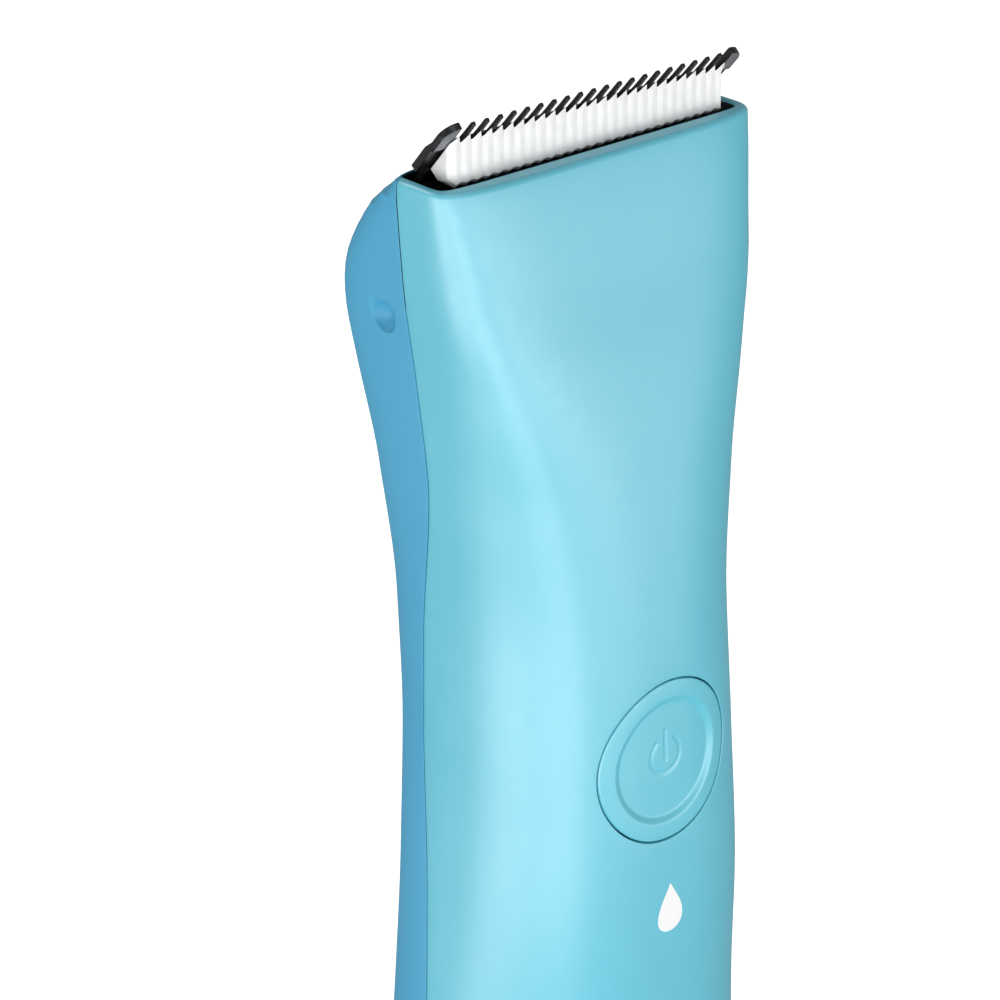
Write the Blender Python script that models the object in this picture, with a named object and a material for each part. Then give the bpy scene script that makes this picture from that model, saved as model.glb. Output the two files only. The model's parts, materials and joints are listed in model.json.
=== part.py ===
"""Cordless body groomer: two shells round a battery, motor and board, with a lift-off ceramic blade cassette.

Lengths below are in millimetres, and to_metres() turns them into the scene's metres.
+Z runs up the handle from its flat base, -Y is the front with the power button, and X runs across.
"""

import math

import bmesh
import bpy
from mathutils import Matrix, Vector

# ---------------------------------------------------------------- body outline
# height, half width, front, back, squareness of the superellipse (2 is an ellipse)
BODY_STATIONS = (
    (0.0, 11.8, -9.7, 9.7, 2.6),
    (2.5, 14.4, -12.3, 12.3, 2.6),
    (8.0, 16.4, -14.4, 14.4, 2.5),
    (20.0, 17.7, -15.6, 15.6, 2.4),
    (40.0, 17.9, -15.8, 15.8, 2.4),
    (63.0, 17.1, -15.8, 14.9, 2.4),
    (78.0, 16.0, -15.6, 13.8, 2.7),
    (92.0, 15.0, -15.0, 13.9, 2.8),
    (106.0, 14.6, -14.1, 14.9, 2.8),
    (120.0, 15.5, -12.7, 15.5, 3.2),
    (132.0, 17.1, -10.6, 15.1, 4.5),
    (141.0, 18.5, -8.3, 13.1, 6.2),
    (148.0, 19.15, -6.9, 8.4, 6.0),
    (152.2, 19.5, -5.9, 3.2, 5.0),
)
# height, position of the line where the two shells meet
SEAM_STATIONS = (
    (0.0, 0.6),
    (40.0, 0.8),
    (60.0, 1.2),
    (78.0, 2.4),
    (95.0, 4.1),
    (104.0, 4.2),
    (122.0, 1.9),
    (152.2, 1.5),
)
RIM_Z = 152.2
FLOOR_Z = 2.4
SHELL_WALL = 1.6
RIM_SIDE_WALL = 1.1
RIM_FRONT_WALL = 2.3
RIM_BACK_WALL = 0.7
MOUTH_LOW = 140.0
MOUTH_BACK = 1.1
MOUTH_SQUARER = 6.0
SHELL_GAP = 0.1
SHELL_LEVELS = (0.0, 1.2, 3.2, 8.0, 18.0, 36.0, 56.0, 70.0, 82.0, 93.0, 103.0, 113.0, 122.0,
                130.0, 136.0, 141.0, 145.0, 149.0, 152.2)
HALF_OUTLINE_POINTS = 23
CAVITY_POINTS = 40

# ---------------------------------------------------------------- blade cassette
COMB_LEAN = math.radians(41.0)
TIP_Y = -4.0
TIP_Z = 158.0
COMB_HALF_WIDTH = 18.35
COMB_BACK = 0.47
COMB_FRONT = -0.25
COMB_FOOT = -15.0
COMB_FOOT_SIDE = -10.0
GUARD_INNER = 16.6
GUARD_FOOT = -6.4
TOOTH_COUNT = 20
TOOTH_PITCH = 1.6
TOOTH_WIDTH = 0.32
TOOTH_FRONT = -0.5
TOOTH_BACK = -0.05
TOOTH_ROOT = -2.6
STEP = 0.05
CUTTER_TEETH = 27
CUTTER_PITCH = 1.26
CUTTER_BACK = -0.6
CUTTER_FOOT = -6.0
HOLDER_HALF_WIDTH = 16.4
HOLDER_FRONT = -2.8
HOLDER_TOP = -8.6
HOLDER_FOOT = -19.5
WINDOW_HALF_WIDTH = 5.4
BRIDGE_FOOT = -10.4
BRIDGE_FRONT = -1.75
CARRIER_HALF_WIDTH = 4.2
FORK_SLOT_HALF_WIDTH = 2.3
FORK_SLOT_TOP = -12.9
FORK_FOOT = -18.5
COMB_SCREW_X = 11.0
COMB_SCREW_Z = -12.5

# ---------------------------------------------------------------- power button
BUTTON_Z = 93.2
BUTTON_RADIUS = 8.2
BUTTON_HOLE_RADIUS = 8.45
DISH_RADIUS = 6.6
DISH_DEPTH = 0.45
BUTTON_BACK = -12.3
BUTTON_STUB_END = -11.2

# ---------------------------------------------------------------- inside
BOARD_HALF_WIDTH = 8.0
BOARD_LOW = 12.0
BOARD_HIGH = 118.0
BOARD_FRONT = -8.4
BOARD_BACK = -7.4
# name, half width, front, low, high, edge rounding
CHIPS = (
    ("control_chip", 3.5, -9.7, 70.0, 77.0, 0.0),
    ("charge_chip", 2.5, -9.5, 40.0, 45.0, 0.0),
    ("charge_coil", 3.0, -10.4, 50.0, 56.0, 0.6),
)
SWITCH_HALF = 3.1
SWITCH_FRONT = -10.2
SWITCH_WELL_RADIUS = 1.9
PLUNGER_Y = -10.9
FRAME_HALF_WIDTH = 11.4
FRAME_LOW = 16.0
FRAME_HIGH = 123.0
FRAME_FRONT = -7.1
FRAME_BACK = -5.6
FRAME_WINDOW = (6.0, 82.0, 96.0)
GAP = 0.3
BATTERY_Y = 3.5
BATTERY_RADIUS = 7.0
BATTERY_LOW = 26.0
BATTERY_HIGH = 76.0
MOTOR_Y = 4.5
MOTOR_RADIUS = 7.8
MOTOR_LOW = 100.0
MOTOR_HIGH = 125.0
MOTOR_SCREW_X = 5.2
BRACKET_THICK = 1.8
CAM_LOW = 128.0
CAM_HIGH = 133.0
CAM_RADIUS = 2.6
CAM_THROW = 0.8
CAM_PIN_RADIUS = 0.6
CAM_PIN_TOP = 145.8
BULKHEAD_LOW = 134.0
BULKHEAD_HIGH = 135.4
DRIVE_SEAL_RADIUS = 4.3
DRIVE_SEAL_BORE = 1.9
PORT_Y = -5.6
PORT_HALF_X = 4.5
PORT_HALF_Y = 1.65
PORT_LOW = 0.5
PORT_HIGH = 7.8
PORT_WALL = 0.35
LEAD_RADIUS = 0.5
# one lead from the board to the motor, with X outwards from the middle
MOTOR_LEAD = ((11.0, -4.9, 101.0), (10.6, -4.0, 98.0), (6.0, 1.0, 96.2), (2.2, 4.0, 97.6), (2.0, 4.5, 99.6))
BATTERY_LEAD_HIGH = ((0.0, -4.0, 77.2), (3.0, -3.9, 79.0), (7.0, -4.3, 80.5), (11.2, -4.8, 79.0))
BATTERY_LEAD_LOW = ((0.0, -4.0, 24.6), (-3.0, -3.9, 23.2), (-6.0, -4.3, 22.6), (-7.6, -4.8, 24.0))
POST_X = 10.2
POST_RADIUS = 2.1
POST_HEIGHTS = (22.0, 88.0)
PILOT_RADIUS = 0.95
BOARD_SCREW_X = 6.2
BOARD_SCREW_HEIGHTS = (32.0, 112.0)
DIMPLE_Y = 5.1
DIMPLE_Z = 137.6
DIMPLE_SPHERE = 2.1
DIMPLE_OUTSET = 1.35


def to_metres(points):
    return [Vector(p) * 0.001 for p in points]


def clear_scene():
    for obj in list(bpy.data.objects):
        bpy.data.objects.remove(obj, do_unlink=True)


def material(name, colour, roughness, metallic=0.0):
    made = bpy.data.materials.new(name)
    made.use_nodes = True
    shader = made.node_tree.nodes["Principled BSDF"]
    shader.inputs["Base Color"].default_value = (*colour, 1.0)
    shader.inputs["Roughness"].default_value = roughness
    shader.inputs["Metallic"].default_value = metallic
    made.diffuse_color = (*colour, 1.0)
    return made


# ---------------------------------------------------------------- outlines
def slopes(heights, values):
    """Slopes at the stations of a curve that passes through them without overshoot."""
    steps = [(values[i + 1] - values[i]) / (heights[i + 1] - heights[i]) for i in range(len(values) - 1)]
    found = [steps[0]]
    for before, after in zip(steps, steps[1:]):
        found.append(0.0 if before * after <= 0 else 2 * before * after / (before + after))
    return found + [steps[-1]]


def smooth(table, column, height):
    """A table's column at this height, on a smooth curve through its stations."""
    heights = [row[0] for row in table]
    values = [row[column] for row in table]
    rates = slopes(heights, values)
    height = min(max(height, heights[0]), heights[-1])
    i = max(k for k in range(len(heights) - 1) if heights[k] <= height)
    span = heights[i + 1] - heights[i]
    t = (height - heights[i]) / span
    return (
        values[i] * (2 * t**3 - 3 * t**2 + 1)
        + values[i + 1] * (3 * t**2 - 2 * t**3)
        + span * rates[i] * (t**3 - 2 * t**2 + t)
        + span * rates[i + 1] * (t**3 - t**2)
    )


def body_section(height):
    return [smooth(BODY_STATIONS, column, height) for column in (1, 2, 3, 4)]


def comb_plane_y(height, offset):
    """Y at this height of the plane parallel to the comb, offset behind its tip line."""
    down = TIP_Z - height
    return TIP_Y + (offset + math.sin(COMB_LEAN) * down) / math.cos(COMB_LEAN)


def cavity_section(height):
    """The hollow inside the shells: the walls thicken at the front rim and follow the comb's slope behind."""
    half, front, back, square = body_section(height)
    near_rim = min(max((height - MOUTH_LOW) / (RIM_Z - MOUTH_LOW), 0.0), 1.0)
    side_wall = SHELL_WALL + (RIM_SIDE_WALL - SHELL_WALL) * near_rim
    front_wall = SHELL_WALL + (RIM_FRONT_WALL - SHELL_WALL) * near_rim
    back_wall = SHELL_WALL + (RIM_BACK_WALL - SHELL_WALL) * near_rim
    inner_back = min(back - back_wall, comb_plane_y(height, MOUTH_BACK))
    return half - side_wall, front + front_wall, inner_back, square + MOUTH_SQUARER * near_rim


def outline(section, start=0.0, end=2 * math.pi, steps=240):
    """Points of a superellipse from one angle to another, closely spaced."""
    half, front, back, square = section
    middle, depth, power = (front + back) / 2, (back - front) / 2, 2 / square
    points = []
    for k in range(steps + 1):
        angle = start + (end - start) * k / steps
        c, s = math.cos(angle), math.sin(angle)
        x = half * math.copysign(abs(c) ** power, c)
        y = middle + depth * math.copysign(abs(s) ** power, s)
        points.append((x, y))
    return points


def evenly(points, count):
    """The same line with its points the same distance apart."""
    lengths = [0.0]
    for a, b in zip(points, points[1:]):
        lengths.append(lengths[-1] + math.dist(a, b))
    found, k = [], 0
    for i in range(count):
        want = lengths[-1] * i / (count - 1)
        while k < len(points) - 2 and lengths[k + 1] < want:
            k += 1
        share = (want - lengths[k]) / (lengths[k + 1] - lengths[k])
        a, b = points[k], points[k + 1]
        found.append((a[0] + (b[0] - a[0]) * share, a[1] + (b[1] - a[1]) * share))
    return found


def half_ring(height, side):
    """One shell's part of the outline at this height, from seam to seam. side is -1 in front, 1 behind."""
    section = body_section(height)
    half, front, back, square = section
    seam = smooth(SEAM_STATIONS, 1, height) + side * SHELL_GAP / 2
    offset = (seam - (front + back) / 2) / ((back - front) / 2)
    angle = math.asin(math.copysign(abs(offset) ** (square / 2), offset))
    if side < 0:
        points = outline(section, math.pi - angle, 2 * math.pi + angle)
    else:
        points = outline(section, angle, math.pi - angle)
    return [(x, y, height) for x, y in evenly(points, HALF_OUTLINE_POINTS)]


def front_surface_y(x, height):
    half, front, back, square = body_section(height)
    middle, depth = (front + back) / 2, (back - front) / 2
    return middle - depth * (1 - (abs(x) / half) ** square) ** (1 / square)


def back_surface_y(x, height):
    half, front, back, square = body_section(height)
    middle, depth = (front + back) / 2, (back - front) / 2
    return middle + depth * (1 - (abs(x) / half) ** square) ** (1 / square)


# ---------------------------------------------------------------- solids
def add(name, points, faces, look=None, parent=None, smooth_angle=30.0):
    """A closed mesh object from points in millimetres, with its faces turned outwards."""
    mesh = bpy.data.meshes.new(name)
    mesh.from_pydata(to_metres(points), [], faces)
    work = bmesh.new()
    work.from_mesh(mesh)
    bmesh.ops.recalc_face_normals(work, faces=work.faces)
    if work.calc_volume(signed=True) < 0:
        bmesh.ops.reverse_faces(work, faces=work.faces)
    work.to_mesh(mesh)
    work.free()
    mesh.shade_smooth()
    mesh.set_sharp_from_angle(angle=math.radians(smooth_angle))
    obj = bpy.data.objects.new(name, mesh)
    bpy.context.scene.collection.objects.link(obj)
    if parent is not None:
        obj.parent = parent
    if look is not None:
        mesh.materials.append(look)
    return obj


def loft(name, rings, look=None, parent=None, smooth_angle=30.0):
    """A solid through closed rings that all have the same number of points."""
    count = len(rings[0])
    points = [p for ring in rings for p in ring]
    faces = []
    for i in range(len(rings) - 1):
        for k in range(count):
            a, b = i * count + k, i * count + (k + 1) % count
            faces.append((a, b, b + count, a + count))
    faces.append(tuple(range(count - 1, -1, -1)))
    faces.append(tuple(range((len(rings) - 1) * count, len(rings) * count)))
    return add(name, points, faces, look, parent, smooth_angle)


def along(axis, a, b, c):
    """A point with c along the axis and a, b across it."""
    return {"x": (c, a, b), "y": (a, c, b), "z": (a, b, c)}[axis]


def prism(name, shape, low, high, look=None, parent=None, axis="z"):
    rings = [[along(axis, a, b, level) for a, b in shape] for level in (low, high)]
    return loft(name, rings, look, parent)


def box(name, low, high, look=None, parent=None, bevel=0.0):
    shape = [(low[0], low[1]), (high[0], low[1]), (high[0], high[1]), (low[0], high[1])]
    obj = prism(name, shape, low[2], high[2], look, parent)
    if bevel:
        rounding = obj.modifiers.new("rounding", "BEVEL")
        rounding.width = bevel * 0.001
        rounding.segments = 2
    return obj


def circle(radius, sides, middle=(0.0, 0.0)):
    turn = 2 * math.pi / sides
    return [
        (middle[0] + radius * math.cos(k * turn), middle[1] + radius * math.sin(k * turn))
        for k in range(sides)
    ]


def rounded(half_a, half_b, radius, middle=(0.0, 0.0), steps=4):
    """A rectangle with round corners."""
    points = []
    for quarter, (sa, sb) in enumerate(((1, 1), (-1, 1), (-1, -1), (1, -1))):
        for k in range(steps + 1):
            angle = math.pi / 2 * (quarter + k / steps)
            points.append((
                middle[0] + sa * (half_a - radius) + radius * math.cos(angle),
                middle[1] + sb * (half_b - radius) + radius * math.sin(angle),
            ))
    return points


def turned(name, profile, look=None, parent=None, middle=(0.0, 0.0), axis="z", sides=24):
    """A solid turned from (radius, level) steps, both ends closed by flat discs."""
    rings = [[along(axis, a, b, level) for a, b in circle(radius, sides, middle)] for radius, level in profile]
    return loft(name, rings, look, parent)


def carve(obj, cutter, operation="DIFFERENCE"):
    """Cuts or joins by Boolean, and hides the tool."""
    tool = obj.modifiers.new(cutter.name, "BOOLEAN")
    tool.operation = operation
    tool.solver = "EXACT"
    tool.object = cutter
    cutter.hide_render = True
    cutter.display_type = "WIRE"
    return obj


def wire(name, points, radius, look):
    """A round lead along a smooth line through its points."""
    curve = bpy.data.curves.new(name, "CURVE")
    curve.dimensions = "3D"
    curve.bevel_depth = radius * 0.001
    curve.bevel_resolution = 1
    curve.use_fill_caps = True
    route = curve.splines.new("POLY")
    places = []
    ends = [points[0]] + list(points) + [points[-1]]
    for p0, p1, p2, p3 in zip(ends, ends[1:], ends[2:], ends[3:]):
        for k in range(4):
            t = k / 4
            places.append([
                b + (c - a) * t / 2 + (2 * a - 5 * b + 4 * c - d) * t**2 / 2 + (3 * b - a - 3 * c + d) * t**3 / 2
                for a, b, c, d in zip(p0, p1, p2, p3)
            ])
    places.append(points[-1])
    route.points.add(len(places) - 1)
    for point, place in zip(route.points, to_metres(places)):
        point.co = (*place, 1.0)
    obj = bpy.data.objects.new(name, curve)
    bpy.context.scene.collection.objects.link(obj)
    curve.materials.append(look)
    return obj


def empty(name, place, parent=None, rotation=(0.0, 0.0, 0.0)):
    obj = bpy.data.objects.new(name, None)
    obj.location = Vector(place) * 0.001
    obj.rotation_euler = rotation
    bpy.context.scene.collection.objects.link(obj)
    if parent is not None:
        obj.parent = parent
    return obj


# ---------------------------------------------------------------- casing
def cavity():
    heights = [FLOOR_Z] + [level for level in SHELL_LEVELS if level > FLOOR_Z + 0.5]
    rings = []
    for height in heights:
        points = evenly(outline(cavity_section(height)), CAVITY_POINTS + 1)[:-1]
        rings.append([(x, y, height) for x, y in points])
    rings.append([(x, y, RIM_Z + 2.0) for x, y, z in rings[-1]])
    return loft("cavity_cutter", rings)


def front_shell(hollow, look):
    shell = loft("front_shell", [half_ring(z, -1) for z in SHELL_LEVELS], look)
    carve(shell, hollow)
    hole = turned("button_hole_cutter", ((BUTTON_HOLE_RADIUS, -20.0), (BUTTON_HOLE_RADIUS, -9.0)),
                  middle=(0.0, BUTTON_Z), axis="y", sides=40)
    carve(shell, hole)
    slot_shape = rounded(PORT_HALF_X + GAP, PORT_HALF_Y + GAP, 1.9, (0.0, PORT_Y))
    return carve(shell, prism("port_slot_cutter", slot_shape, -2.0, 4.0))


def dimple_ball(side):
    """The ball that presses a round dimple into the side of the rear shell."""
    mesh = bpy.data.meshes.new("dimple")
    work = bmesh.new()
    place = Vector((side * (body_section(DIMPLE_Z)[0] + DIMPLE_OUTSET), DIMPLE_Y, DIMPLE_Z)) * 0.001
    bmesh.ops.create_uvsphere(work, u_segments=20, v_segments=12, radius=DIMPLE_SPHERE * 0.001,
                              matrix=Matrix.Translation(place))
    work.to_mesh(mesh)
    work.free()
    ball = bpy.data.objects.new(f"dimple_cutter_{side}", mesh)
    bpy.context.scene.collection.objects.link(ball)
    return ball


def rear_shell(hollow, look):
    shell = loft("rear_shell", [half_ring(z, 1) for z in SHELL_LEVELS], look)
    carve(shell, hollow)
    for side in (-1, 1):
        for k, height in enumerate(POST_HEIGHTS):
            ends = (FRAME_BACK + 0.3, back_surface_y(POST_X + POST_RADIUS, height) - 0.6)
            middle = (side * POST_X, height)
            post = turned(f"post_{k}_{side}", [(POST_RADIUS, y) for y in ends], middle=middle, axis="y", sides=12)
            carve(shell, post, "UNION")
            bore = ((PILOT_RADIUS, FRAME_BACK - 1.0), (PILOT_RADIUS, FRAME_BACK + 7.5))
            carve(shell, turned(f"pilot_{k}_{side}", bore, middle=middle, axis="y", sides=12))
        carve(shell, dimple_ball(side))
    return shell


# ---------------------------------------------------------------- button and switch
def power_button(look, parent):
    """A round cap whose face follows the shell, with a shallow dish and a stub behind."""
    sides = 32
    steps = ((1.2, DISH_DEPTH), (4.0, DISH_DEPTH), (DISH_RADIUS - 0.3, DISH_DEPTH),
             (DISH_RADIUS, 0.05), (BUTTON_RADIUS, 0.05))
    rings = []
    for radius, depth in steps:
        ring = []
        for x, z in circle(radius, sides):
            ring.append((x, front_surface_y(x, BUTTON_Z + z) + depth, z))
        rings.append(ring)
    for radius, y in ((BUTTON_RADIUS, BUTTON_BACK), (2.0, BUTTON_BACK), (2.0, BUTTON_STUB_END)):
        rings.append([(x, y, z) for x, z in circle(radius, sides)])
    offset = parent.location * 1000
    rings = [[(x, y - offset.y, z) for x, y, z in ring] for ring in rings]
    return loft("power_button", rings, look, parent)


def button_seal(look):
    """A silicone ring behind the button that keeps water off the board."""
    middle = (0.0, BUTTON_Z)
    ring = turned("button_seal", ((9.2, -11.1), (9.2, -10.5)), look, middle=middle, axis="y", sides=32)
    hole = turned("button_seal_cutter", ((3.0, -13.0), (3.0, -10.0)), middle=middle, axis="y")
    return carve(ring, hole)


def switch(body_look, plunger_look, plunger_parent):
    low = (-SWITCH_HALF, SWITCH_FRONT, BUTTON_Z - SWITCH_HALF)
    high = (SWITCH_HALF, BOARD_FRONT - GAP, BUTTON_Z + SWITCH_HALF)
    base = box("switch_body", low, high, body_look)
    well = turned("switch_well_cutter", ((SWITCH_WELL_RADIUS, -12.0), (SWITCH_WELL_RADIUS, -9.0)),
                  middle=(0.0, BUTTON_Z), axis="y")
    carve(base, well)
    turned("switch_plunger", ((1.3, 0.0), (1.6, 0.3), (1.6, 1.2)), plunger_look, plunger_parent, axis="y")


# ---------------------------------------------------------------- board, battery, frame
def board(look, chip_look):
    """The circuit board and its parts, which stand off its front face."""
    middle = (0.0, (BOARD_LOW + BOARD_HIGH) / 2)
    shape = rounded(BOARD_HALF_WIDTH, (BOARD_HIGH - BOARD_LOW) / 2, 1.5, middle, 2)
    plate = prism("main_board", shape, BOARD_FRONT, BOARD_BACK, look, axis="y")
    for side in (-1, 1):
        for height in BOARD_SCREW_HEIGHTS:
            hole = turned(f"board_hole_{side}_{height:.0f}", ((PILOT_RADIUS, -12.0), (PILOT_RADIUS, -4.0)),
                          middle=(side * BOARD_SCREW_X, height), axis="y", sides=12)
            carve(plate, hole)
    for name, half, front, low, high, rounding in CHIPS:
        box(name, (-half, front, low), (half, BOARD_FRONT - GAP, high), chip_look, bevel=rounding)


def inner_frame(look):
    """The plate that carries the board in front and the battery and motor behind."""
    low = (-FRAME_HALF_WIDTH, FRAME_FRONT, FRAME_LOW)
    high = (FRAME_HALF_WIDTH, FRAME_BACK, FRAME_HIGH)
    plate = box("inner_frame", low, high, look, bevel=0.4)
    holes = [(side * BOARD_SCREW_X, height, 0.7) for side in (-1, 1) for height in BOARD_SCREW_HEIGHTS]
    holes += [(side * POST_X, height, 1.2) for side in (-1, 1) for height in POST_HEIGHTS]
    for k, (x, z, radius) in enumerate(holes):
        hole = turned(f"frame_hole_{k}", ((radius, -9.0), (radius, -4.0)), middle=(x, z), axis="y", sides=12)
        carve(plate, hole)
    half, window_low, window_high = FRAME_WINDOW
    window = box("frame_window_cutter", (-half, -9.0, window_low), (half, -4.0, window_high))
    return carve(plate, window)


def screw(name, place, axis, head_radius, head, shank_radius, shank, look, parent=None):
    """A screw whose head starts at place and whose shank follows along the axis."""
    index = "xyz".index(axis)
    across = tuple(place[k] for k in range(3) if k != index)
    start = place[index]
    turn = math.copysign(1.0, shank)
    profile = (
        (head_radius * 0.8, start),
        (head_radius, start + turn * head * 0.4),
        (head_radius, start + turn * head),
        (shank_radius, start + turn * head),
        (shank_radius, start + turn * head + shank * 0.85),
        (shank_radius * 0.3, start + turn * head + shank),
    )
    made = turned(name, profile, look, parent, middle=across, axis=axis, sides=12)
    drive = 0.32 * head_radius
    size = [drive, drive, drive]
    size[index] = head * 0.7
    low = [place[k] - size[k] for k in range(3)]
    high = [place[k] + size[k] for k in range(3)]
    slot = box(f"{name}_drive_cutter", low, high, parent=parent)
    return carve(made, slot)


def board_screws(look):
    k = 0
    for side in (-1, 1):
        for height in BOARD_SCREW_HEIGHTS:
            k += 1
            place = (side * BOARD_SCREW_X, BOARD_FRONT - 1.3, height)
            screw(f"board_screw_{k}", place, "y", 1.6, 1.0, 0.6, 2.9, look)


def frame_screws(look):
    k = 0
    for side in (-1, 1):
        for height in POST_HEIGHTS:
            k += 1
            place = (side * POST_X, FRAME_FRONT - 1.3, height)
            screw(f"frame_screw_{k}", place, "y", 1.7, 1.0, 0.8, 7.5, look)


def battery(cell_look, tab_look, cradle_look):
    middle = (0.0, BATTERY_Y)
    turned("battery_cell", (
        (BATTERY_RADIUS - 0.4, BATTERY_LOW), (BATTERY_RADIUS, BATTERY_LOW + 0.4),
        (BATTERY_RADIUS, BATTERY_HIGH - 1.8), (BATTERY_RADIUS - 0.5, BATTERY_HIGH - 1.2),
        (2.6, BATTERY_HIGH - 1.0), (2.6, BATTERY_HIGH),
    ), cell_look, middle=middle)
    for name, level in (("battery_tab_low", BATTERY_LOW - 0.6), ("battery_tab_high", BATTERY_HIGH + 0.3)):
        shape = ((-2.0, -4.6), (2.0, -4.6), (2.0, BATTERY_Y + 3.0), (-2.0, BATTERY_Y + 3.0))
        prism(name, shape, level, level + 0.3, tab_look)
    cradle_steps = 12
    inner, outer = BATTERY_RADIUS + 0.3, BATTERY_RADIUS + 1.5
    angles = [math.radians(-20 + 220 * k / cradle_steps) for k in range(cradle_steps + 1)]
    arc = [(outer * math.cos(a), BATTERY_Y + outer * math.sin(a)) for a in angles]
    arc += [(inner * math.cos(a), BATTERY_Y + inner * math.sin(a)) for a in reversed(angles)]
    prism("battery_cradle", arc, BATTERY_LOW + 2.0, BATTERY_HIGH - 3.0, cradle_look)


# ---------------------------------------------------------------- motor and drive
def motor(can_look, bell_look, bracket_look, screw_look):
    """A can motor with its end bell below, screwed from above to a bracket across the handle."""
    middle = (0.0, MOTOR_Y)
    can = turned("motor_can", (
        (MOTOR_RADIUS, MOTOR_LOW + 2.8), (MOTOR_RADIUS, MOTOR_HIGH - 0.8), (MOTOR_RADIUS - 0.8, MOTOR_HIGH),
    ), can_look, middle=middle, sides=28)
    bell = turned("motor_end_bell", (
        (3.0, MOTOR_LOW), (3.0, MOTOR_LOW + 0.8),
        (MOTOR_RADIUS - 0.4, MOTOR_LOW + 0.8), (MOTOR_RADIUS - 0.4, MOTOR_LOW + 2.5),
    ), bell_look, middle=middle, sides=28)
    bore = turned("shaft_bore_cutter", ((1.3, MOTOR_LOW + 1.0), (1.3, MOTOR_HIGH + 9.0)), middle=middle, sides=16)
    carve(can, bore)
    carve(bell, bore)
    bracket_low = MOTOR_HIGH + GAP
    bracket_high = bracket_low + BRACKET_THICK
    shape = rounded(11.6, 9.6, 4.0, (0.0, 1.2))
    bracket = prism("motor_bracket", shape, bracket_low, bracket_high, bracket_look)
    opening = turned("bracket_opening_cutter", ((2.8, MOTOR_HIGH - 1.0), (2.8, MOTOR_HIGH + 4.0)), middle=middle)
    carve(bracket, opening)
    for k, side in enumerate((-1, 1)):
        place = (side * MOTOR_SCREW_X, MOTOR_Y)
        levels = ((PILOT_RADIUS, MOTOR_HIGH - 3.6), (PILOT_RADIUS, MOTOR_HIGH + 4.0))
        hole = turned(f"motor_screw_hole_{k}", levels, middle=place, sides=12)
        carve(bracket, hole)
        carve(can, hole)
        screw(f"motor_screw_{k + 1}", (*place, MOTOR_HIGH + 3.4), "z", 1.6, 1.0, 0.65, -5.0, screw_look)


def rotor(shaft_look, cam_look, parent):
    """The shaft and the cam it turns; the cam's pin stands off the axis by the throw."""
    turned("motor_shaft", ((0.8, MOTOR_LOW + 1.3), (1.0, MOTOR_LOW + 1.5), (1.0, MOTOR_HIGH + 5.0)),
           shaft_look, parent, sides=16)
    body = ((CAM_RADIUS - 0.3, CAM_LOW), (CAM_RADIUS, CAM_LOW + 0.3),
            (CAM_RADIUS, CAM_HIGH - 0.4), (CAM_RADIUS - 0.4, CAM_HIGH))
    cam = turned("eccentric_cam", body, cam_look, parent, sides=24)
    bore = turned("cam_bore_cutter", ((1.2, CAM_LOW - 1.0), (1.2, CAM_HIGH - 2.4)), parent=parent, sides=16)
    carve(cam, bore)
    pin_shape = ((CAM_PIN_RADIUS, CAM_HIGH - 1.0), (CAM_PIN_RADIUS, CAM_PIN_TOP - 0.3),
                 (CAM_PIN_RADIUS - 0.25, CAM_PIN_TOP))
    pin = turned("cam_pin_joined", pin_shape, parent=parent, middle=(CAM_THROW, 0.0), sides=12)
    return carve(cam, pin, "UNION")


def drive_seal(seal_look, bulkhead_look):
    """The wall that closes the drive bay, with a rubber ring round the cam pin."""
    middle = (0.0, MOTOR_Y)
    low, high = BULKHEAD_LOW, BULKHEAD_HIGH
    wall = prism("drive_bulkhead", rounded(13.6, 9.4, 5.0, (0.0, 2.4)), low, high, bulkhead_look)
    opening = DRIVE_SEAL_RADIUS + GAP
    carve(wall, turned("bulkhead_hole_cutter", ((opening, low - 2.0), (opening, high + 2.0)), middle=middle))
    ring = turned("drive_seal", ((DRIVE_SEAL_RADIUS, low), (DRIVE_SEAL_RADIUS, high)), seal_look, middle=middle)
    bore = ((DRIVE_SEAL_BORE, low - 2.0), (DRIVE_SEAL_BORE, high + 2.0))
    return carve(ring, turned("seal_hole_cutter", bore, middle=middle))


# ---------------------------------------------------------------- charging port and leads
def charging_port(shell_look, tongue_look, seal_look):
    middle = (0.0, PORT_Y)
    outside = rounded(PORT_HALF_X, PORT_HALF_Y, 1.6, middle)
    can = prism("charging_port", outside, PORT_LOW, PORT_HIGH, shell_look)
    mouth = rounded(PORT_HALF_X - PORT_WALL, PORT_HALF_Y - PORT_WALL, 1.25, middle)
    carve(can, prism("port_mouth_cutter", mouth, -1.0, PORT_HIGH - 0.9))
    prism("port_tongue", rounded(3.3, 0.36, 0.2, middle, 1), 1.4, 6.6, tongue_look)
    seal = prism("port_seal", rounded(PORT_HALF_X + 1.6, PORT_HALF_Y + 0.9, 1.9, middle), 2.7, 4.2, seal_look)
    opening = rounded(PORT_HALF_X + GAP, PORT_HALF_Y + GAP, 1.7, middle)
    return carve(seal, prism("port_seal_cutter", opening, 2.0, 5.0))


def leads(plus_look, minus_look):
    for side, name, look in ((-1, "minus", minus_look), (1, "plus", plus_look)):
        wire(f"motor_lead_{name}", [(side * x, y, z) for x, y, z in MOTOR_LEAD], LEAD_RADIUS, look)
    wire("battery_lead_plus", BATTERY_LEAD_HIGH, LEAD_RADIUS, plus_look)
    wire("battery_lead_minus", BATTERY_LEAD_LOW, LEAD_RADIUS, minus_look)


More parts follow.
